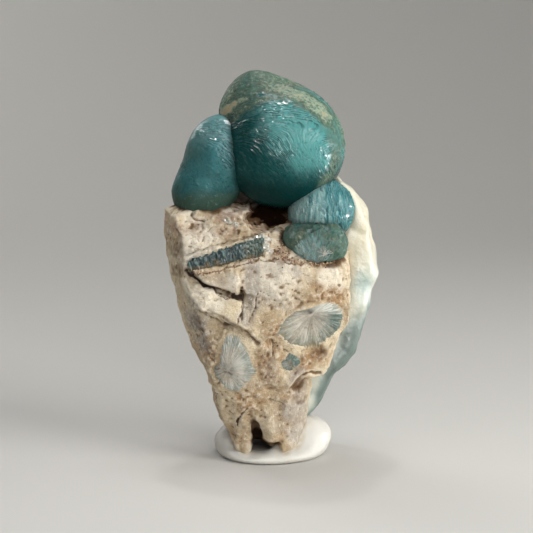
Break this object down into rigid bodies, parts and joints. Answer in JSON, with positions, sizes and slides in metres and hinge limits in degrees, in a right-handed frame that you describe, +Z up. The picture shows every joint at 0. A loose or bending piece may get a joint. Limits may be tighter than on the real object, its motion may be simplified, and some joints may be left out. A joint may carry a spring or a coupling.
{
  "type": "wavellite specimen",
  "caption": "Wavellite mineral specimen: teal globes, a seam and broken needle fans on tan host rock, stood upright in a dab of white putty.",
  "frame": {"origin": "middle of the putty's flat underside, on the surface that the specimen stands on", "axes": "+Z up along the specimen's height, +X to the right and -Y towards the viewer of its front face"},
  "size_m": [0.0194, 0.0136, 0.035],
  "materials": {
    "host_rock": "broken iron-stained host rock, matt, cream to tan with brown cracks",
    "wavellite_globe": "teal wavellite globes covered in tiny crystal ends, glassy",
    "wavellite_seam": "dull teal comb of wavellite needles, rusty along its foot",
    "wavellite_fan": "radiating wavellite needles broken across, silky grey-white to green",
    "wavellite_crust": "lumpy pale blue-white wavellite crust, waxy",
    "putty": "white mounting putty, smooth and slightly waxy"
  },
  "bodies": {
    "root": {"matrix": "host_rock", "globe_cluster": "wavellite_globe", "ledge_vein": "wavellite_seam", "spray_right": "wavellite_fan", "spray_left": "wavellite_fan", "spray_small": "wavellite_fan", "back_crust": "wavellite_crust", "putty": "putty"}
  },
  "joints": []
}
